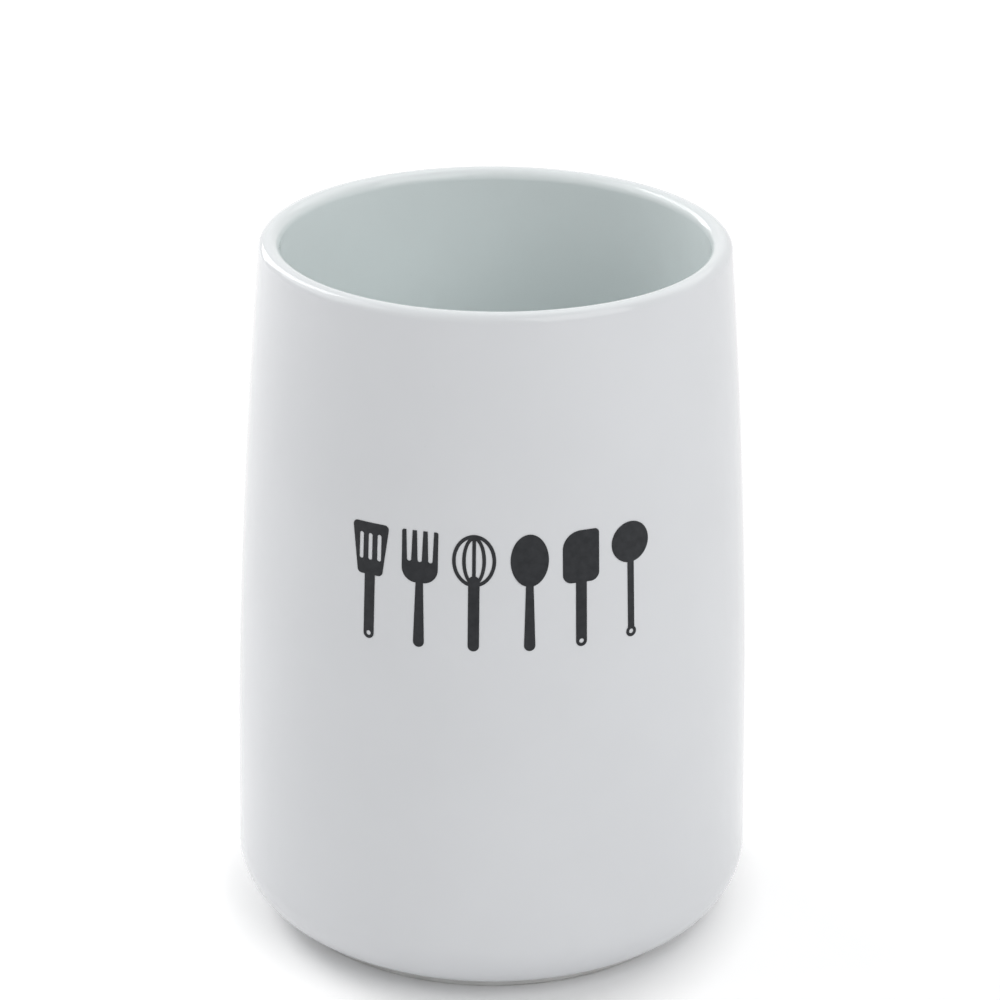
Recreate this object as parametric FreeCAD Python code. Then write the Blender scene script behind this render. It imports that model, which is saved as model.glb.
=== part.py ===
import FreeCAD, Part
import math
import os

# A slip-cast porcelain crock for kitchen utensils: the cast body with its foot ring, the clear glaze
# fired over it, the patch of glaze under the foot, and a row of printed motifs fired on the front.
# Millimetres, +Z up, origin on the table at the middle of the foot, the print facing -Y.

# Finished crock, glaze included
HEIGHT = 165.0          # table to the top of the lip
RIM_RADIUS = 53.5       # outside of the wall at the lip
BASE_RADIUS = 60.8      # outside of the wall if it ran down to the base plane with no rounding
WALL_BOW = 1.7          # bulge of the wall beyond a straight taper
WALL = 4.8              # wall thickness, and the width of the full-round lip
BASE_ROUND = 14.5       # rounding from the wall into the base
INNER_ROUND = 11.0      # rounding from the inside of the wall into the floor
FLOOR = 4.6             # floor thickness at the middle, where the underside is highest

# Foot ring and underside
BASE_PLANE = 1.1        # lowest reach of the base rounding above the table
FOOT_SETBACK = 10.4     # foot ring inside the unrounded base edge
FOOT_WIDTH = 4.0        # width of the foot ring
FOOT_EDGE = 0.5         # rounding of the foot ring's two lower edges
RECESS = 2.0            # underside above the table at the foot ring
DOME_RISE = 0.6         # further rise of the underside at the middle

# Glaze
GLAZE = 0.35            # thickness of the fired coat
GLAZE_SETBACK = 1.5     # bare band wiped round the glaze under the foot

# Row of printed motifs, each an upright utensil with its head at the top
PRINT_THICKNESS = 0.12  # fired colour standing on the glaze
PRINT_BASE = 89.0       # lower end of the handles above the table
PRINT_SHIFT = 1.9       # row's middle to the right of the front, along the wall
PRINT_HEIGHT = 27.0     # whole motif
PRINT_GAP = 3.2         # clear wall between two motifs
HEAD_HEIGHT = 12.0      # head of a motif, apart from the ladle's round one
HANDLE_END = 2.5        # width of a handle at its lower end
HANDLE_NECK = 1.6       # width of a tapered handle where it meets the head
EYE = 1.1               # hanging hole
BLADE_CORNER = 1.0      # rounding of a blade's corners
SLOT = 1.0              # width of the turner's slots, and of the gaps at the root of the fork's tines

TURNER_WIDTH = 9.0
TURNER_NECK = 6.0       # width of the blade where it meets the handle
TURNER_SLOTS = 3
SLOT_PITCH = 2.2        # between the turner's slots
SLOT_LENGTH = 6.2
SLOT_MARGIN = 2.4       # from the slots to the end of the blade
FORK_WIDTH = 8.2
TINES = 4
TINE_GAP = 1.5          # gap between the tips of the tines
PALM = 4.8              # from the neck to the root of the tines
WHISK_WIDTH = 9.6
WHISK_LOOP = 5.2        # width of the inner loop of wire
WIRE = 0.8
SPOON_WIDTH = 8.4
SCRAPER_WIDTH = 8.4
SCRAPER_SWEEP = 4.2     # large rounding of one upper corner
SCRAPER_HEEL = 2.0      # rounding of the lower corners
LADLE_WIDTH = 9.4


# Half section: X is the radius from the crock's axis and Z the height above the table

def at(radius, height):
    return FreeCAD.Vector(radius, 0, height)


def polar(centre, radius, angle):
    """The point of a circle in the section plane, at an angle from level in radians."""
    return centre + at(radius * math.cos(angle), radius * math.sin(angle))


def line(start, end):
    return Part.LineSegment(start, end).toShape()


def arc(centre, radius, start, end):
    angles = (start, (start + end) / 2, end)
    return Part.Arc(*(polar(centre, radius, angle) for angle in angles)).toShape()


def face_of(edges):
    return Part.Face(Part.Wire(Part.__sortEdges__(edges)))


def lathe(edges):
    """Turns a closed half section about the crock's axis."""
    return face_of(edges).revolve(at(0, 0), at(0, 1), 360)


def bowed_arc(low, high, bow):
    """Centre and radius of the arc from low to high that bulges outwards by bow."""
    chord = high - low
    radius = chord.Length ** 2 / (8 * bow) + bow / 2
    inwards = at(-chord.z, chord.x).normalize()
    return (low + high) / 2 + inwards * (radius - bow), radius


LIP_HEIGHT = HEIGHT - WALL / 2
WALL_CENTRE, WALL_RADIUS = bowed_arc(at(BASE_RADIUS, BASE_PLANE), at(RIM_RADIUS, LIP_HEIGHT), WALL_BOW)
FLOOR_TOP = RECESS + DOME_RISE + FLOOR
FOOT_RADIUS = BASE_RADIUS - FOOT_SETBACK
FOOT_INNER = FOOT_RADIUS - FOOT_WIDTH


def wall_reach(radius, height):
    """Distance from the axis, at a height, of the arc of that radius about the wall's centre."""
    return WALL_CENTRE.x + math.sqrt(radius ** 2 - (height - WALL_CENTRE.z) ** 2)


def rounding_centre(wall_radius, plane, rounding):
    """Centre of the rounding that is tangent to the wall arc and to a level plane below it."""
    height = plane + rounding
    return at(wall_reach(wall_radius - rounding, height), height)


def lean(point):
    """Angle above level at which the wall faces, on the line from the wall's centre to a point."""
    return math.atan2(point.z - WALL_CENTRE.z, point.x - WALL_CENTRE.x)


LIP_CENTRE = at(wall_reach(WALL_RADIUS - WALL / 2, LIP_HEIGHT), LIP_HEIGHT)
BASE_CENTRE = rounding_centre(WALL_RADIUS, BASE_PLANE, BASE_ROUND)
INNER_CENTRE = rounding_centre(WALL_RADIUS - WALL, FLOOR_TOP, INNER_ROUND)


def wall_edges(radius, low, high):
    """The arc of that radius about the wall's centre between two leans, parted where the wall stands
    upright, because a turned arc has its seam there."""
    angles = (low, 0, high) if low < 0 < high else (low, high)
    return [arc(WALL_CENTRE, radius, start, end) for start, end in zip(angles, angles[1:])]


def base_edges(inset):
    """The base from the foot ring's outer wall to the upright wall, inset below the finished surface."""
    radius = BASE_ROUND - inset
    beyond = FOOT_RADIUS - BASE_CENTRE.x
    if beyond > 0:
        return [arc(BASE_CENTRE, radius, -math.acos(beyond / radius), lean(BASE_CENTRE))]
    plane = BASE_PLANE + inset
    return [line(at(FOOT_RADIUS, plane), at(BASE_CENTRE.x, plane)),
            arc(BASE_CENTRE, radius, -math.pi / 2, lean(BASE_CENTRE))]


def outline(inset):
    """From the foot up the outside, over the lip and down the inside to the middle of the floor."""
    top = lean(LIP_CENTRE)
    floor = FLOOR_TOP - inset
    return base_edges(inset) + [
        *wall_edges(WALL_RADIUS - inset, lean(BASE_CENTRE), top),
        arc(LIP_CENTRE, WALL / 2 - inset, top, top + math.pi),
        *wall_edges(WALL_RADIUS - WALL + inset, lean(INNER_CENTRE), top),
        arc(INNER_CENTRE, INNER_ROUND + inset, lean(INNER_CENTRE), -math.pi / 2),
        line(at(INNER_CENTRE.x, floor), at(0, floor)),
    ]


def start_of(edges):
    """The outline's first point, on the foot ring's outer wall."""
    return edges[0].valueAt(edges[0].FirstParameter)


# Underside: a shallow dome inside the foot ring, met by a hollow rounding

DOME_EDGE = FOOT_INNER - (RECESS - FOOT_EDGE)
DOME_RADIUS = (DOME_EDGE ** 2 + DOME_RISE ** 2) / (2 * DOME_RISE)
DOME_CENTRE = at(0, RECESS + DOME_RISE - DOME_RADIUS)


def dome_angle(reach):
    """Angle about the dome's centre of the point of the underside that far from the axis."""
    return math.acos(reach / DOME_RADIUS)


def foot_edges():
    """From the edge of the dome, round the foot ring, to the corner of its outer wall."""
    return [
        arc(at(DOME_EDGE, FOOT_EDGE), RECESS - FOOT_EDGE, math.pi / 2, 0),
        arc(at(FOOT_INNER + FOOT_EDGE, FOOT_EDGE), FOOT_EDGE, math.pi, 1.5 * math.pi),
        line(at(FOOT_INNER + FOOT_EDGE, 0), at(FOOT_RADIUS - FOOT_EDGE, 0)),
        arc(at(FOOT_RADIUS - FOOT_EDGE, FOOT_EDGE), FOOT_EDGE, 1.5 * math.pi, 2 * math.pi),
    ]


def porcelain_body():
    """The cast and fired body: wall, floor and bare foot ring in one piece."""
    shell = outline(GLAZE)
    return lathe(shell + foot_edges() + [
        line(at(0, FLOOR_TOP - GLAZE), at(0, RECESS + DOME_RISE)),
        arc(DOME_CENTRE, DOME_RADIUS, math.pi / 2, dome_angle(DOME_EDGE)),
        line(at(FOOT_RADIUS, FOOT_EDGE), start_of(shell)),
    ])


def glaze_coat():
    """The clear coat in one sheet: outside from the foot up, over the lip, and all of the inside."""
    outside, inside = outline(0), outline(GLAZE)
    return lathe(outside + inside + [
        line(start_of(outside), start_of(inside)),
        line(at(0, FLOOR_TOP), at(0, FLOOR_TOP - GLAZE)),
    ])


def underside_glaze():
    """The patch of glaze on the dome, wiped back from the foot ring so that the foot stays bare."""
    middle, edge = math.pi / 2, dome_angle(DOME_EDGE - GLAZE_SETBACK)
    bared = DOME_RADIUS - GLAZE
    return lathe([
        arc(DOME_CENTRE, DOME_RADIUS, middle, edge),
        arc(DOME_CENTRE, bared, middle, edge),
        line(polar(DOME_CENTRE, DOME_RADIUS, edge), polar(DOME_CENTRE, bared, edge)),
        line(polar(DOME_CENTRE, DOME_RADIUS, middle), polar(DOME_CENTRE, bared, middle)),
    ])


# Stamps of the printed motifs: X across, Z up from the lower end of the handle

HEAD_BASE = PRINT_HEIGHT - HEAD_HEIGHT
HEAD_MIDDLE = HEAD_BASE + HEAD_HEIGHT / 2
HANDLE_TOP = HEAD_BASE + HANDLE_END     # a handle runs a little way into its head


def stamp(edges):
    """A flat outline carried straight out through the front wall."""
    return face_of(edges).extrude(FreeCAD.Vector(0, -2 * BASE_RADIUS, 0))


def disc(height, width):
    return stamp([Part.Circle(at(0, height), FreeCAD.Vector(0, 1, 0), width / 2).toShape()])


def oval(middle, width, height):
    """An oval on the motif's middle line."""
    if width == height:
        return disc(middle, width)
    side, top = at(width / 2, middle), at(0, middle + height / 2)
    ends = (side, top) if width > height else (top, side)
    return stamp([Part.Ellipse(*ends, at(0, middle)).toShape()])


def bar(across, low, high, low_width, high_width):
    """An upright bar with round ends that may differ in width."""
    low_radius, high_radius = low_width / 2, high_width / 2
    foot, head = at(across, low + low_radius), at(across, high - high_radius)
    tilt = math.asin((low_radius - high_radius) / (head.z - foot.z))
    return stamp([
        arc(head, high_radius, tilt, math.pi - tilt),
        line(polar(head, high_radius, math.pi - tilt), polar(foot, low_radius, math.pi - tilt)),
        arc(foot, low_radius, math.pi - tilt, 2 * math.pi + tilt),
        line(polar(foot, low_radius, tilt), polar(head, high_radius, tilt)),
    ])


def rounded_blade(corners):
    """A blade with corners given as (across, height, rounding)."""
    edges, joints = [], []
    for index, (across, height, rounding) in enumerate(corners):
        corner = at(across, height)
        before, after = corners[index - 1], corners[(index + 1) % len(corners)]
        back = (at(before[0], before[1]) - corner).normalize()
        ahead = (at(after[0], after[1]) - corner).normalize()
        half = back.getAngle(ahead) / 2
        inwards = (back + ahead).normalize()
        setback = rounding / math.tan(half)
        entry, leave = corner + back * setback, corner + ahead * setback
        crown = corner + inwards * (rounding / math.sin(half) - rounding)
        edges.append(Part.Arc(entry, crown, leave).toShape())
        joints.append((entry, leave))
    for index, (entry, leave) in enumerate(joints):
        edges.append(line(leave, joints[(index + 1) % len(joints)][0]))
    return stamp(edges)


def tapered_handle():
    return bar(0, 0, HANDLE_TOP, HANDLE_END, HANDLE_NECK)


def hung_handle():
    """A straight handle with a hanging hole."""
    return bar(0, 0, HANDLE_TOP, HANDLE_END, HANDLE_END).cut(disc(HANDLE_END / 2, EYE))


def spread(count, pitch):
    """Places of a number of like features, evenly spaced about the middle line."""
    return [(index - (count - 1) / 2) * pitch for index in range(count)]


def turner():
    top, neck = TURNER_WIDTH / 2, TURNER_NECK / 2
    blade = rounded_blade([(-neck, HEAD_BASE, BLADE_CORNER), (neck, HEAD_BASE, BLADE_CORNER),
                           (top, PRINT_HEIGHT, BLADE_CORNER), (-top, PRINT_HEIGHT, BLADE_CORNER)])
    high = PRINT_HEIGHT - SLOT_MARGIN
    slots = [bar(across, high - SLOT_LENGTH, high, SLOT, SLOT) for across in spread(TURNER_SLOTS, SLOT_PITCH)]
    return blade.cut(slots).fuse(hung_handle())


def fork():
    side, shoulder = FORK_WIDTH / 2, (FORK_WIDTH - HANDLE_NECK) / 2
    tine = (FORK_WIDTH - (TINES - 1) * TINE_GAP) / TINES
    head = rounded_blade([(-side, HEAD_BASE, shoulder), (side, HEAD_BASE, shoulder),
                          (side, PRINT_HEIGHT, tine / 2), (-side, PRINT_HEIGHT, tine / 2)])
    root, past_the_tips = HEAD_BASE + PALM, PRINT_HEIGHT + TINE_GAP
    gaps = [bar(across, root, past_the_tips, SLOT, TINE_GAP) for across in spread(TINES - 1, tine + TINE_GAP)]
    return head.cut(gaps).fuse(tapered_handle())


def whisk():
    outer = oval(HEAD_MIDDLE, WHISK_WIDTH, HEAD_HEIGHT)
    outer = outer.cut(oval(HEAD_MIDDLE, WHISK_WIDTH - 2 * WIRE, HEAD_HEIGHT - 2 * WIRE))
    tall = HEAD_HEIGHT - WIRE
    inner = oval(HEAD_MIDDLE, WHISK_LOOP, tall).cut(oval(HEAD_MIDDLE, WHISK_LOOP - 2 * WIRE, tall - 2 * WIRE))
    middle = bar(0, HEAD_BASE + WIRE / 2, PRINT_HEIGHT - WIRE / 2, WIRE, WIRE)
    return outer.fuse([inner, middle, bar(0, 0, HANDLE_TOP, HANDLE_END, HANDLE_END)])


def spoon():
    return oval(HEAD_MIDDLE, SPOON_WIDTH, HEAD_HEIGHT).fuse(tapered_handle())


def scraper():
    side = SCRAPER_WIDTH / 2
    blade = rounded_blade([(-side, HEAD_BASE, SCRAPER_HEEL), (side, HEAD_BASE, SCRAPER_HEEL),
                           (side, PRINT_HEIGHT, BLADE_CORNER), (-side, PRINT_HEIGHT, SCRAPER_SWEEP)])
    return blade.fuse(hung_handle())


def ladle():
    bowl_middle = PRINT_HEIGHT - LADLE_WIDTH / 2
    stem = bar(0, 0, bowl_middle, HANDLE_NECK, HANDLE_NECK)
    eye = disc(HANDLE_END / 2, HANDLE_END)
    return disc(bowl_middle, LADLE_WIDTH).fuse([stem, eye]).cut(disc(HANDLE_END / 2, EYE))


# Each motif's node with its stamp and its width, from left to right
MOTIFS = (
    ("print_turner", turner, TURNER_WIDTH),
    ("print_fork", fork, FORK_WIDTH),
    ("print_whisk", whisk, WHISK_WIDTH),
    ("print_spoon", spoon, SPOON_WIDTH),
    ("print_scraper", scraper, SCRAPER_WIDTH),
    ("print_ladle", ladle, LADLE_WIDTH),
)


def colour_layer():
    """The skin of fired colour over the whole wall that the motifs are cut from."""
    low, high = lean(BASE_CENTRE), lean(LIP_CENTRE)
    outer = WALL_RADIUS + PRINT_THICKNESS
    return lathe([
        *wall_edges(WALL_RADIUS, low, high),
        *wall_edges(outer, low, high),
        line(polar(WALL_CENTRE, WALL_RADIUS, low), polar(WALL_CENTRE, outer, low)),
        line(polar(WALL_CENTRE, WALL_RADIUS, high), polar(WALL_CENTRE, outer, high)),
    ])


def printed_motifs():
    """Each motif as one thin patch that follows the wall, spaced along it with equal gaps."""
    layer = colour_layer()
    front = wall_reach(WALL_RADIUS, PRINT_BASE + PRINT_HEIGHT / 2)
    row = sum(width for _, _, width in MOTIFS) + (len(MOTIFS) - 1) * PRINT_GAP
    along = PRINT_SHIFT - row / 2
    patches = {}
    for node, motif, width in MOTIFS:
        cutter = motif().removeSplitter()
        cutter.translate(at(0, PRINT_BASE))
        patch = cutter.common(layer)
        patch.rotate(at(0, 0), at(0, 1), math.degrees((along + width / 2) / front))
        patches[node] = patch
        along += width + PRINT_GAP
    return patches


pieces = {
    "porcelain_body": porcelain_body(),
    "glaze_coat": glaze_coat(),
    "underside_glaze": underside_glaze(),
    **printed_motifs(),
}
os.makedirs("parts", exist_ok=True)
for node, shape in pieces.items():
    shape.exportStep(f"parts/{node}.step")
    print(f"{node}: {len(shape.Solids)} solid(s), {shape.Volume:.1f} mm3, valid {shape.isValid()}")
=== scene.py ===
import math
import bpy
from mathutils import Matrix, Vector


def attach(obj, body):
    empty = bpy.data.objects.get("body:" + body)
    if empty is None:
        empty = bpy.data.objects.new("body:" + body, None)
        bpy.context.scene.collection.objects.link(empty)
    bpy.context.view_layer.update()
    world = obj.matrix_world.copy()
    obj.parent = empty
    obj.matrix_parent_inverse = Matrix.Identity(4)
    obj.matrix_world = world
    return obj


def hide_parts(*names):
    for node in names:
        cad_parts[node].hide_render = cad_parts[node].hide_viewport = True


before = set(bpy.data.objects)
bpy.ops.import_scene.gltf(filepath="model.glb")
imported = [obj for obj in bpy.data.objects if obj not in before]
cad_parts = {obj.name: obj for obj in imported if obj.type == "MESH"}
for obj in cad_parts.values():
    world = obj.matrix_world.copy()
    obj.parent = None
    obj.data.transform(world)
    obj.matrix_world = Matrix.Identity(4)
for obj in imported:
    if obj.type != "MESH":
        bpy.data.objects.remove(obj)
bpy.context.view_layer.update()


# Porcelain body
# The slip-cast body of wall, floor and foot ring, fired hard and left bare on the foot.
# Only the foot ring shows: a fine matte biscuit, rubbed smooth with a wet sponge before firing.

MM = 0.001
NOISE_MIDDLE = (0.3, 0.7)
BISQUE_PALE = (0.80, 0.80, 0.79, 1)
BISQUE_WARM = (0.68, 0.675, 0.66, 1)
BISQUE_GRAIN_MM = 0.45
BISQUE_CLOUD_MM = 7.0
BISQUE_ROUGHNESS = 0.72
BISQUE_RELIEF_MM = 0.03
BISQUE_CLOUD_DETAIL = 3
BISQUE_GRAIN_DETAIL = 2


def finish_of(name):
    """A new material with its nodes, its links, its main shader and the piece's own coordinates."""
    material = bpy.data.materials.new(name)
    material.use_nodes = True
    nodes, links = material.node_tree.nodes, material.node_tree.links
    places = nodes.new("ShaderNodeTexCoord").outputs["Object"]
    return material, nodes, links, nodes["Principled BSDF"], places


def noise_of(nodes, links, places, size_mm, detail):
    """Noise whose features are about that many millimetres across, as a value from 0 to 1."""
    noise = nodes.new("ShaderNodeTexNoise")
    noise.inputs["Scale"].default_value = 1 / (size_mm * MM)
    noise.inputs["Detail"].default_value = detail
    links.new(places, noise.inputs["Vector"])
    return noise.outputs["Fac"]


def blend_of(nodes, links, share, low, high):
    """A colour between low and high by a share from 0 to 1."""
    mix = nodes.new("ShaderNodeMix")
    mix.data_type = "RGBA"
    mix.inputs["A"].default_value = low
    mix.inputs["B"].default_value = high
    links.new(share, mix.inputs["Factor"])
    return mix.outputs["Result"]


def ramp_of(nodes, links, value, span, low, high):
    """A value that runs from low to high while another runs over a span, and stays there beyond it."""
    ramp = nodes.new("ShaderNodeMapRange")
    ramp.inputs["From Min"].default_value = span[0]
    ramp.inputs["From Max"].default_value = span[1]
    ramp.inputs["To Min"].default_value = low
    ramp.inputs["To Max"].default_value = high
    links.new(value, ramp.inputs["Value"])
    return ramp.outputs["Result"]


def joined_of(nodes, links, operation, first, second):
    """Two values joined by a sum, product or other operation."""
    joined = nodes.new("ShaderNodeMath")
    joined.operation = operation
    links.new(first, joined.inputs[0])
    links.new(second, joined.inputs[1])
    return joined.outputs["Value"]


def relief_of(nodes, links, shader, height, depth_mm):
    """Fine relief of the surface, that deep from its lowest to its highest places."""
    bump = nodes.new("ShaderNodeBump")
    bump.inputs["Distance"].default_value = depth_mm * MM
    links.new(height, bump.inputs["Height"])
    links.new(bump.outputs["Normal"], shader.inputs["Normal"])


def bisque_finish():
    material, nodes, links, shader, places = finish_of("bare_bisque")
    cloud = noise_of(nodes, links, places, BISQUE_CLOUD_MM, BISQUE_CLOUD_DETAIL)
    grain = noise_of(nodes, links, places, BISQUE_GRAIN_MM, BISQUE_GRAIN_DETAIL)
    share = ramp_of(nodes, links, cloud, NOISE_MIDDLE, 0.0, 1.0)
    links.new(blend_of(nodes, links, share, BISQUE_PALE, BISQUE_WARM), shader.inputs["Base Color"])
    shader.inputs["Roughness"].default_value = BISQUE_ROUGHNESS
    relief_of(nodes, links, shader, grain, BISQUE_RELIEF_MM)
    return material


def refinish(piece, material):
    """Gives a piece that material alone."""
    piece.data.materials.clear()
    piece.data.materials.append(material)


refinish(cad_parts["porcelain_body"], bisque_finish())


# Glaze coat
# One sheet of clear glaze over the white body, poured inside and dipped outside, then fired glossy.
# It runs from the foot up over the lip and down to the floor, and draws into a small bead at the foot.

HEIGHT = 165.0
RIM_RADIUS = 53.5
BASE_RADIUS = 60.8
WALL_BOW = 1.7
WALL = 4.8
BASE_PLANE = 1.1
BASE_ROUND = 14.5
INNER_ROUND = 11.0
FLOOR_TOP = 7.2
FOOT_RADIUS = 50.4
GLAZE = 0.35
BEAD = 0.25
ROUND_STEP = math.radians(3.0)
WALL_STEP_MM = 3.0
HIDDEN_STEPS = 3
TURN_SEGMENTS = 240
UNEVENNESS_MM = 0.04
UNEVEN_PATCH_MM = 45.0
UNEVEN_DETAIL = 1.0
UNEVEN_SWING = 2.0
UNEVEN_SEED = 4.0
MERGE_MM = 0.002
BEAD_STEP = 4 * ROUND_STEP

# The colour inside is the thick glaze's own teal, and is also made lighter than the outside's as painted
# light, standing in for light that reaches the inside. It eases back to the outside's colour over the lip.
GLAZE_THIN = (0.800, 0.815, 0.840, 1)
GLAZE_INSIDE_TEAL_AND_PAINTED_LIGHT = (0.850, 0.906, 0.906, 1)
GLAZE_CLOUD = 0.012
GLAZE_CLOUD_MM = 28.0
GLAZE_CLOUD_DETAIL = 3
GLAZE_GLOSS_DETAIL = 2
GLAZE_PEEL_DETAIL = 1
GLAZE_SPECK_MM = 8.0
GLAZE_SPECK_SIZE = 0.024
GLAZE_SPECK_TONE = 0.93
GLAZE_ROUGHNESS = (0.045, 0.085)
GLAZE_PEEL_MM = 2.4
GLAZE_PEEL_DEPTH_MM = 0.0035


def bowed_arc(low, high, bow):
    """Centre and radius of the arc from low to high that bulges away from the axis by bow."""
    chord = high - low
    radius = chord.length_squared / (8 * bow) + bow / 2
    inwards = Vector((-chord.y, chord.x)).normalized()
    return (low + high) / 2 + inwards * (radius - bow), radius


LIP_HEIGHT = HEIGHT - WALL / 2
WALL_LOW = Vector((BASE_RADIUS, BASE_PLANE))
WALL_HIGH = Vector((RIM_RADIUS, LIP_HEIGHT))
WALL_CENTRE, WALL_RADIUS = bowed_arc(WALL_LOW, WALL_HIGH, WALL_BOW)


def on_wall(radius, height):
    """The point at that height on the arc of that radius about the wall's centre."""
    return Vector((WALL_CENTRE.x + math.sqrt(radius ** 2 - (height - WALL_CENTRE.y) ** 2), height))


def lean(point):
    """Angle above level at which the wall faces, towards a point from the wall's centre."""
    return math.atan2(point.y - WALL_CENTRE.y, point.x - WALL_CENTRE.x)


LIP_CENTRE = on_wall(WALL_RADIUS - WALL / 2, LIP_HEIGHT)
BASE_CENTRE = on_wall(WALL_RADIUS - BASE_ROUND, BASE_PLANE + BASE_ROUND)
INNER_CENTRE = on_wall(WALL_RADIUS - WALL - INNER_ROUND, FLOOR_TOP + INNER_ROUND)


def arc_points(centre, radius, start, end, step):
    """Points of an arc from one angle to another, no further apart than step."""
    count = max(2, math.ceil(abs(end - start) / step))
    angles = (start + (end - start) * index / count for index in range(count + 1))
    return [centre + radius * Vector((math.cos(angle), math.sin(angle))) for angle in angles]


def section_of(inset, foot, steps):
    """Half section in three runs: floor and inside, over the lip, and down the outside to the foot."""
    top, turn, rise = lean(LIP_CENTRE), steps * ROUND_STEP, steps * WALL_STEP_MM
    floor, reach = FLOOR_TOP - inset, INNER_CENTRE.x
    count = math.ceil(reach / rise)
    inside = [Vector((reach * index / count, floor)) for index in range(count)]
    inside += arc_points(INNER_CENTRE, INNER_ROUND + inset, -math.pi / 2, lean(INNER_CENTRE), turn)
    climb = rise / WALL_RADIUS
    inside += arc_points(WALL_CENTRE, WALL_RADIUS - WALL + inset, lean(INNER_CENTRE), top, climb)[1:]
    lip = arc_points(LIP_CENTRE, WALL / 2 - inset, top + math.pi, top, turn)[1:]
    outside = arc_points(WALL_CENTRE, WALL_RADIUS - inset, top, lean(BASE_CENTRE), climb)[1:]
    outside += arc_points(BASE_CENTRE, BASE_ROUND - inset, lean(BASE_CENTRE), foot, turn)[1:]
    return inside, lip, outside


def foot_angle(reach, radius):
    """Angle about the base rounding's centre of the point that far from the crock's axis."""
    return -math.acos((reach - BASE_CENTRE.x) / radius)


def glaze_section():
    """The coat's whole section, and for each point 1 on the finished side and 1 inside, where the colour
    turns teal and lighter with painted light.
    """
    bead_angle = foot_angle(FOOT_RADIUS + BEAD, BASE_ROUND - BEAD)
    bead_centre = BASE_CENTRE + (BASE_ROUND - BEAD) * Vector((math.cos(bead_angle), math.sin(bead_angle)))
    inside, lip, outside = section_of(0, bead_angle, 1)
    bead = arc_points(bead_centre, BEAD, bead_angle, -math.pi, BEAD_STEP)[1:]
    hidden = sum(section_of(GLAZE, foot_angle(FOOT_RADIUS, BASE_ROUND - GLAZE), HIDDEN_STEPS), [])
    finished = inside + lip + outside
    unfinished = bead + hidden[::-1]
    eased = [1 - (index + 1) / len(lip) for index in range(len(lip))]
    # 1 inside, easing to 0 over the lip: there the colour turns teal, as thick glaze is, and lighter as
    #                                     painted light.
    inside_teal_and_light = [1.0] * len(inside) + eased + [0.0] * (len(outside) + len(unfinished))
    return finished + unfinished, [1.0] * len(finished) + [0.0] * len(unfinished), inside_teal_and_light


def turning_tree():
    """Geometry nodes that turn a half section about the crock's axis and leave it faintly uneven."""
    tree = bpy.data.node_groups.new("turned_coat", "GeometryNodeTree")
    face = tree.interface
    face.new_socket("Section", in_out="INPUT", socket_type="NodeSocketGeometry")
    face.new_socket("Segments", in_out="INPUT", socket_type="NodeSocketInt")
    face.new_socket("Turning Radius", in_out="INPUT", socket_type="NodeSocketFloat")
    face.new_socket("Unevenness", in_out="INPUT", socket_type="NodeSocketFloat")
    face.new_socket("Patch Frequency", in_out="INPUT", socket_type="NodeSocketFloat")
    face.new_socket("Seed", in_out="INPUT", socket_type="NodeSocketFloat")
    face.new_socket("Finish", in_out="INPUT", socket_type="NodeSocketMaterial")
    face.new_socket("Coat", in_out="OUTPUT", socket_type="NodeSocketGeometry")
    nodes, links = tree.nodes, tree.links
    given, made = nodes.new("NodeGroupInput"), nodes.new("NodeGroupOutput")
    section = nodes.new("GeometryNodeMeshToCurve")
    wheel = nodes.new("GeometryNodeCurvePrimitiveCircle")
    turned = nodes.new("GeometryNodeCurveToMesh")
    closed = nodes.new("GeometryNodeMergeByDistance")
    closed.inputs["Distance"].default_value = MERGE_MM * MM
    links.new(given.outputs["Section"], section.inputs["Mesh"])
    links.new(given.outputs["Segments"], wheel.inputs["Resolution"])
    links.new(given.outputs["Turning Radius"], wheel.inputs["Radius"])
    links.new(wheel.outputs["Curve"], turned.inputs["Curve"])
    links.new(section.outputs["Curve"], turned.inputs["Profile Curve"])
    links.new(turned.outputs["Mesh"], closed.inputs["Geometry"])
    patches = nodes.new("ShaderNodeTexNoise")
    patches.noise_dimensions = "4D"
    patches.inputs["Detail"].default_value = UNEVEN_DETAIL
    links.new(given.outputs["Patch Frequency"], patches.inputs["Scale"])
    links.new(given.outputs["Seed"], patches.inputs["W"])
    centred = ramp_of(nodes, links, patches.outputs["Fac"], (0.0, 1.0), -UNEVEN_SWING, UNEVEN_SWING)
    finished = nodes.new("GeometryNodeInputNamedAttribute")
    finished.data_type = "FLOAT"
    finished.inputs["Name"].default_value = "finished"
    outside = joined_of(nodes, links, "MULTIPLY", centred, finished.outputs["Attribute"])
    swell = joined_of(nodes, links, "MULTIPLY", outside, given.outputs["Unevenness"])
    outwards = nodes.new("ShaderNodeVectorMath")
    outwards.operation = "SCALE"
    links.new(nodes.new("GeometryNodeInputNormal").outputs["Normal"], outwards.inputs["Vector"])
    links.new(swell, outwards.inputs["Scale"])
    uneven = nodes.new("GeometryNodeSetPosition")
    links.new(closed.outputs["Geometry"], uneven.inputs["Geometry"])
    links.new(outwards.outputs["Vector"], uneven.inputs["Offset"])
    smooth = nodes.new("GeometryNodeSetShadeSmooth")
    whole = nodes.new("GeometryNodeRealizeInstances")
    coated = nodes.new("GeometryNodeSetMaterial")
    links.new(uneven.outputs["Geometry"], smooth.inputs["Geometry"])
    links.new(smooth.outputs["Geometry"], whole.inputs["Geometry"])
    links.new(whole.outputs["Geometry"], coated.inputs["Geometry"])
    links.new(given.outputs["Finish"], coated.inputs["Material"])
    links.new(coated.outputs["Geometry"], made.inputs["Coat"])
    return tree


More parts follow.
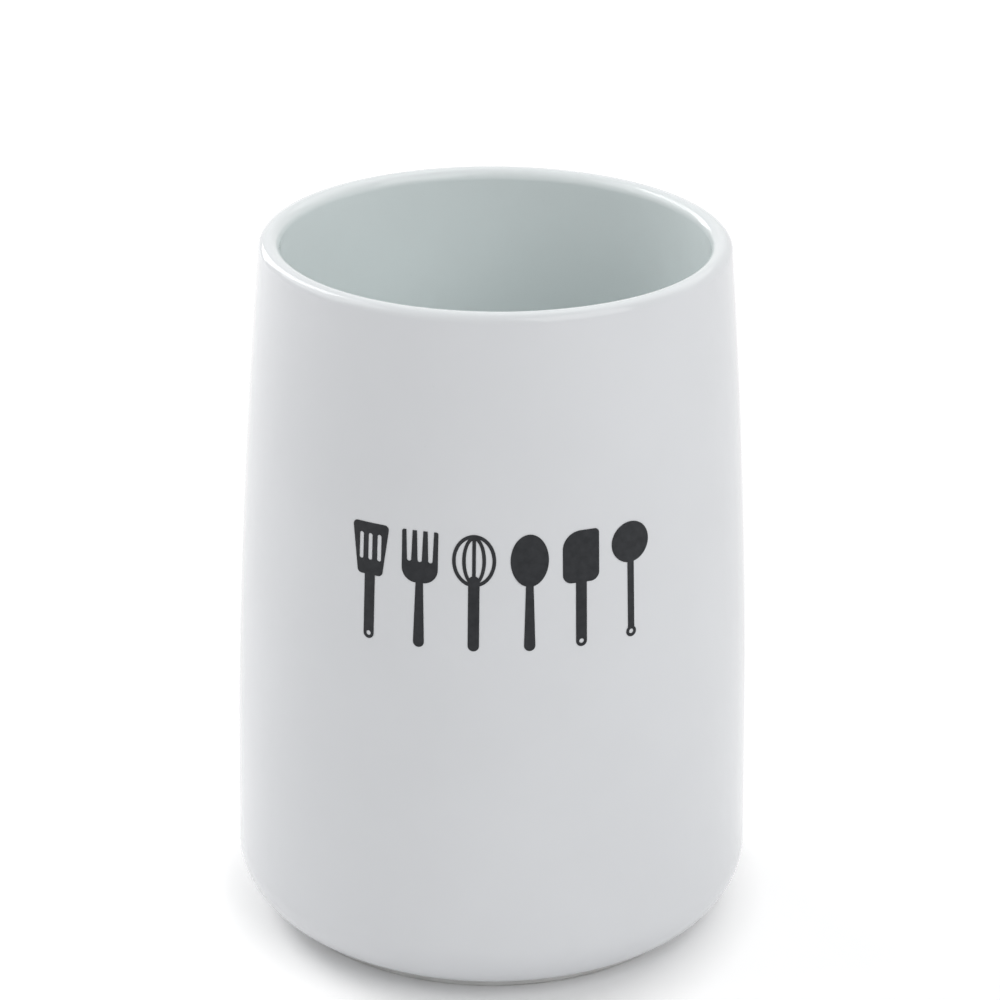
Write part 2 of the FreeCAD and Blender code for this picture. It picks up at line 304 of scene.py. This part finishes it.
def turned_piece(name, section, attributes, material):
    """A plain mesh object turned from a half section, with named values for each point of the section."""
    mesh = bpy.data.meshes.new(name)
    corners = [((point.x - RIM_RADIUS) * MM, -point.y * MM, 0) for point in section]
    mesh.from_pydata(corners, [(index, index + 1) for index in range(len(corners) - 1)], [])
    for label, values in attributes.items():
        mesh.attributes.new(label, "FLOAT", "POINT").data.foreach_set("value", values)
    piece = bpy.data.objects.new(name, mesh)
    bpy.context.scene.collection.objects.link(piece)
    tree = turning_tree()
    sizes = {
        "Segments": TURN_SEGMENTS,
        "Turning Radius": RIM_RADIUS * MM,
        "Unevenness": UNEVENNESS_MM * MM,
        "Patch Frequency": 1 / (UNEVEN_PATCH_MM * MM),
        "Seed": UNEVEN_SEED,
        "Finish": material,
    }
    wheel = piece.modifiers.new("wheel", "NODES")
    wheel.node_group = tree
    for item in tree.interface.items_tree:
        if item.in_out == "INPUT" and item.name in sizes:
            wheel[item.identifier] = sizes[item.name]
    graph = bpy.context.evaluated_depsgraph_get()
    turned = piece.evaluated_get(graph)
    solid = bpy.data.meshes.new_from_object(turned, preserve_all_data_layers=True, depsgraph=graph)
    piece.modifiers.clear()
    piece.data = solid
    return piece


def glaze_finish():
    material, nodes, links, shader, places = finish_of("clear_gloss_glaze")
    # Inside the crock the colour turns teal, as thick glaze is, and lighter as painted light.
    inside_teal_and_light = nodes.new("ShaderNodeAttribute")
    inside_teal_and_light.attribute_name = "inside_teal_and_painted_light"
    tint = blend_of(nodes, links, inside_teal_and_light.outputs["Fac"], GLAZE_THIN, GLAZE_INSIDE_TEAL_AND_PAINTED_LIGHT)
    cloud = noise_of(nodes, links, places, GLAZE_CLOUD_MM, GLAZE_CLOUD_DETAIL)
    cloud = ramp_of(nodes, links, cloud, NOISE_MIDDLE, 1 - GLAZE_CLOUD, 1 + GLAZE_CLOUD)
    cells = nodes.new("ShaderNodeTexVoronoi")
    cells.inputs["Scale"].default_value = 1 / (GLAZE_SPECK_MM * MM)
    links.new(places, cells.inputs["Vector"])
    speck_edge = (GLAZE_SPECK_SIZE / 2, GLAZE_SPECK_SIZE)
    speck = ramp_of(nodes, links, cells.outputs["Distance"], speck_edge, GLAZE_SPECK_TONE, 1.0)
    tone = joined_of(nodes, links, "MULTIPLY", cloud, speck)
    shaded = nodes.new("ShaderNodeVectorMath")
    shaded.operation = "SCALE"
    links.new(tint, shaded.inputs["Vector"])
    links.new(tone, shaded.inputs["Scale"])
    links.new(shaded.outputs["Vector"], shader.inputs["Base Color"])
    gloss = noise_of(nodes, links, places, GLAZE_CLOUD_MM / 2, GLAZE_GLOSS_DETAIL)
    links.new(ramp_of(nodes, links, gloss, NOISE_MIDDLE, *GLAZE_ROUGHNESS), shader.inputs["Roughness"])
    peel = noise_of(nodes, links, places, GLAZE_PEEL_MM, GLAZE_PEEL_DETAIL)
    relief_of(nodes, links, shader, peel, GLAZE_PEEL_DEPTH_MM)
    return material


glaze = glaze_finish()
# The inside values turn the colour teal and lighter there, the lightening being painted light.
glaze_points, finished_share, inside_teal_and_light_share = glaze_section()
glaze_values = {"finished": finished_share, "inside_teal_and_painted_light": inside_teal_and_light_share}
coat = turned_piece("fired_glaze_coat", glaze_points, glaze_values, glaze)
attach(coat, "root")
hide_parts("glaze_coat")


# Glaze under the foot
# A patch of the same clear glaze on the domed underside, brushed on inside the foot ring.
# It is wiped back from the ring before firing, so that the crock doesn't stick to the kiln shelf.

refinish(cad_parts["underside_glaze"], glaze)


# Printed motifs
# A row of upright kitchen tools in charcoal colour, screen-printed on a transfer and fired onto the glaze.
# The colour stands a hair proud of the glaze and dries to a satin, finely grained film.

ENAMEL_DARK = (0.015, 0.0165, 0.0195, 1)
ENAMEL_PALE = (0.027, 0.029, 0.033, 1)
ENAMEL_MOTTLE_MM = 1.6
ENAMEL_GRAIN_MM = 0.25
ENAMEL_ROUGHNESS = (0.34, 0.46)
ENAMEL_RELIEF_MM = 0.012
ENAMEL_SHEEN = 0.25
ENAMEL_MOTTLE_DETAIL = 4
ENAMEL_GRAIN_DETAIL = 2
MOTIFS = ("turner", "fork", "whisk", "spoon", "scraper", "ladle")


def enamel_finish():
    material, nodes, links, shader, places = finish_of("charcoal_print_enamel")
    mottle = noise_of(nodes, links, places, ENAMEL_MOTTLE_MM, ENAMEL_MOTTLE_DETAIL)
    grain = noise_of(nodes, links, places, ENAMEL_GRAIN_MM, ENAMEL_GRAIN_DETAIL)
    share = ramp_of(nodes, links, mottle, NOISE_MIDDLE, 0.0, 1.0)
    links.new(blend_of(nodes, links, share, ENAMEL_DARK, ENAMEL_PALE), shader.inputs["Base Color"])
    links.new(ramp_of(nodes, links, grain, NOISE_MIDDLE, *ENAMEL_ROUGHNESS), shader.inputs["Roughness"])
    shader.inputs["Specular IOR Level"].default_value = ENAMEL_SHEEN
    relief_of(nodes, links, shader, grain, ENAMEL_RELIEF_MM)
    return material


enamel = enamel_finish()
for motif in MOTIFS:
    refinish(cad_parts["print_" + motif], enamel)


# Table and studio
# A round white table that runs out to white, keeps the crock's soft shadow, deepened by the foot with
# painted shade, and is open under the foot.
# A tall softbox leans behind to the left, and wide ones hang to the left, front right and back right.

TABLE_RADIUS = 3.0
TABLE_HOLE_MM = 49.75
TABLE_SEGMENTS = 96
TABLE_WHITE = (0.90, 0.90, 0.90, 1)
# The glow that lifts the table to white is painted light: it is weakest in an oval by the foot, which
# paints the crock's shadow there deeper, weaker behind, and stronger far out.
TABLE_LIFT = (0.05, 0.32)
TABLE_LIFT_MM = (50.0, 66.0)
SHADOW_OVAL = (1.0, 0.85, 1.0)
TABLE_BACK_LIFT = 0.6
TABLE_BACK_MM = (40.0, 140.0)
TABLE_FAR_LIFT = 0.35
TABLE_FAR_MM = (300.0, 2000.0)
ROOM_WHITE = (1, 1, 1, 1)
ROOM_SEEN = 1.0
ROOM_AMBIENT = 0.40
LAMP_DISTANCE = 1.5
SOFTBOXES = {
    "tall_softbox": {"azimuth": -135, "elevation": 30, "tilt": -30, "size": (0.5, 1.4), "power": 6.5},
    "left_softbox": {"azimuth": -102, "elevation": 40, "tilt": 0, "size": (1.2, 1.2), "power": 5.8},
    "front_softbox": {"azimuth": 45, "elevation": 40, "tilt": 0, "size": (1.2, 1.2), "power": 7.3},
    "back_softbox": {"azimuth": 135, "elevation": 52, "tilt": 0, "size": (1.2, 1.2), "power": 4.1},
}


def seen_share(nodes, links):
    """1 for what the camera, a reflection or a glass sees directly, and 0 for light on a matte surface."""
    rays = nodes.new("ShaderNodeLightPath").outputs
    bounced = joined_of(nodes, links, "MAXIMUM", rays["Is Glossy Ray"], rays["Is Transmission Ray"])
    return joined_of(nodes, links, "MAXIMUM", rays["Is Camera Ray"], bounced)


def span_of(span_mm):
    """A span in millimetres as a span in metres."""
    return span_mm[0] * MM, span_mm[1] * MM


def table_finish():
    """Matte white, lifted towards white by a painted glow where it is seen; the glow is weaker in an oval
    by the foot, which paints the shadow there deeper, and weaker behind; clear from below.
    """
    material, nodes, links, shader, places = finish_of("white_table")
    nodes.remove(shader)
    paint = nodes.new("ShaderNodeBsdfDiffuse")
    paint.inputs["Color"].default_value = TABLE_WHITE
    oval = nodes.new("ShaderNodeVectorMath")
    oval.operation = "MULTIPLY"
    oval.inputs[1].default_value = SHADOW_OVAL
    links.new(places, oval.inputs[0])
    reach = nodes.new("ShaderNodeVectorMath")
    reach.operation = "LENGTH"
    links.new(oval.outputs["Vector"], reach.inputs[0])
    apart = nodes.new("ShaderNodeSeparateXYZ")
    links.new(places, apart.inputs["Vector"])
    # Painted shade: less glow in an oval by the foot deepens the shadow there.
    near = ramp_of(nodes, links, reach.outputs["Value"], span_of(TABLE_LIFT_MM), *TABLE_LIFT)
    back = ramp_of(nodes, links, apart.outputs["Y"], span_of(TABLE_BACK_MM), 1.0, TABLE_BACK_LIFT)
    far = ramp_of(nodes, links, reach.outputs["Value"], span_of(TABLE_FAR_MM), 0.0, TABLE_FAR_LIFT)
    level = joined_of(nodes, links, "ADD", joined_of(nodes, links, "MULTIPLY", near, back), far)
    lift = nodes.new("ShaderNodeEmission")
    links.new(joined_of(nodes, links, "MULTIPLY", level, seen_share(nodes, links)), lift.inputs["Strength"])
    lifted = nodes.new("ShaderNodeAddShader")
    links.new(paint.outputs["BSDF"], lifted.inputs[0])
    links.new(lift.outputs["Emission"], lifted.inputs[1])
    sided = nodes.new("ShaderNodeMixShader")
    links.new(nodes.new("ShaderNodeNewGeometry").outputs["Backfacing"], sided.inputs["Fac"])
    links.new(lifted.outputs["Shader"], sided.inputs[1])
    links.new(nodes.new("ShaderNodeBsdfTransparent").outputs["BSDF"], sided.inputs[2])
    links.new(sided.outputs["Shader"], nodes["Material Output"].inputs["Surface"])
    return material


def table_top():
    """A flat ring round the foot, with its top face up."""
    angles = [2 * math.pi * index / TABLE_SEGMENTS for index in range(TABLE_SEGMENTS)]
    rings = [(TABLE_HOLE_MM * MM, angle) for angle in angles] + [(TABLE_RADIUS, angle) for angle in angles]
    corners = [(radius * math.cos(angle), radius * math.sin(angle), 0) for radius, angle in rings]
    faces = []
    for index in range(TABLE_SEGMENTS):
        after = (index + 1) % TABLE_SEGMENTS
        faces.append((index, TABLE_SEGMENTS + index, TABLE_SEGMENTS + after, after))
    mesh = bpy.data.meshes.new("table_top")
    mesh.from_pydata(corners, [], faces)
    mesh.materials.append(table_finish())
    table = bpy.data.objects.new("table_top", mesh)
    bpy.context.scene.collection.objects.link(table)
    return table


def studio_room():
    """White where it is seen, and a softer even light on matte surfaces."""
    world = bpy.data.worlds.new("studio_room")
    world.use_nodes = True
    nodes, links = world.node_tree.nodes, world.node_tree.links
    level = nodes.new("ShaderNodeMapRange")
    level.inputs["To Min"].default_value = ROOM_AMBIENT
    level.inputs["To Max"].default_value = ROOM_SEEN
    links.new(seen_share(nodes, links), level.inputs["Value"])
    nodes["Background"].inputs["Color"].default_value = ROOM_WHITE
    links.new(level.outputs["Result"], nodes["Background"].inputs["Strength"])
    return world


def softbox(name, azimuth, elevation, tilt, size, power):
    """A rectangular softbox that faces the crock, round from the front to the right and up, in degrees."""
    lamp = bpy.data.lights.new(name, "AREA")
    lamp.shape = "RECTANGLE"
    lamp.size, lamp.size_y = size
    lamp.energy = power
    box = bpy.data.objects.new(name, lamp)
    across, up = math.radians(azimuth), math.radians(elevation)
    level = Vector((math.sin(across), -math.cos(across), 0))
    outwards = level * math.cos(up) + Vector((0, 0, math.sin(up)))
    middle = Vector((0, 0, HEIGHT / 2 * MM))
    turn = outwards.to_track_quat("Z", "Y").to_matrix() @ Matrix.Rotation(math.radians(tilt), 3, "Z")
    box.matrix_world = Matrix.Translation(middle + outwards * LAMP_DISTANCE) @ turn.to_4x4()
    bpy.context.scene.collection.objects.link(box)


table_top()
bpy.context.scene.world = studio_room()
bpy.context.scene.view_settings.view_transform = "Standard"
for name, setting in SOFTBOXES.items():
    softbox(name, **setting)


# Camera
# A long lens above the table, tilted down at the crock from the front.
# Its place and lens frame the crock as it is seen in the picture.

CAMERA_PLACE = Vector((0.0, -762.525, 421.375)) * MM
CAMERA_RIGHT = Vector((0.9999746, 0.0010614, 0.0070475))
CAMERA_UP = Vector((-0.0069071, 0.3880620, 0.9216074))
SENSOR_MM = 36.0
LENS_MM = 128.22

lens = bpy.data.cameras.new("camera")
lens.sensor_width = SENSOR_MM
lens.lens = LENS_MM
camera = bpy.data.objects.new("camera", lens)
bpy.context.scene.collection.objects.link(camera)
camera_axes = Matrix((CAMERA_RIGHT, CAMERA_UP, CAMERA_RIGHT.cross(CAMERA_UP))).transposed()
camera.matrix_world = Matrix.Translation(CAMERA_PLACE) @ camera_axes.to_4x4()
bpy.context.scene.camera = camera
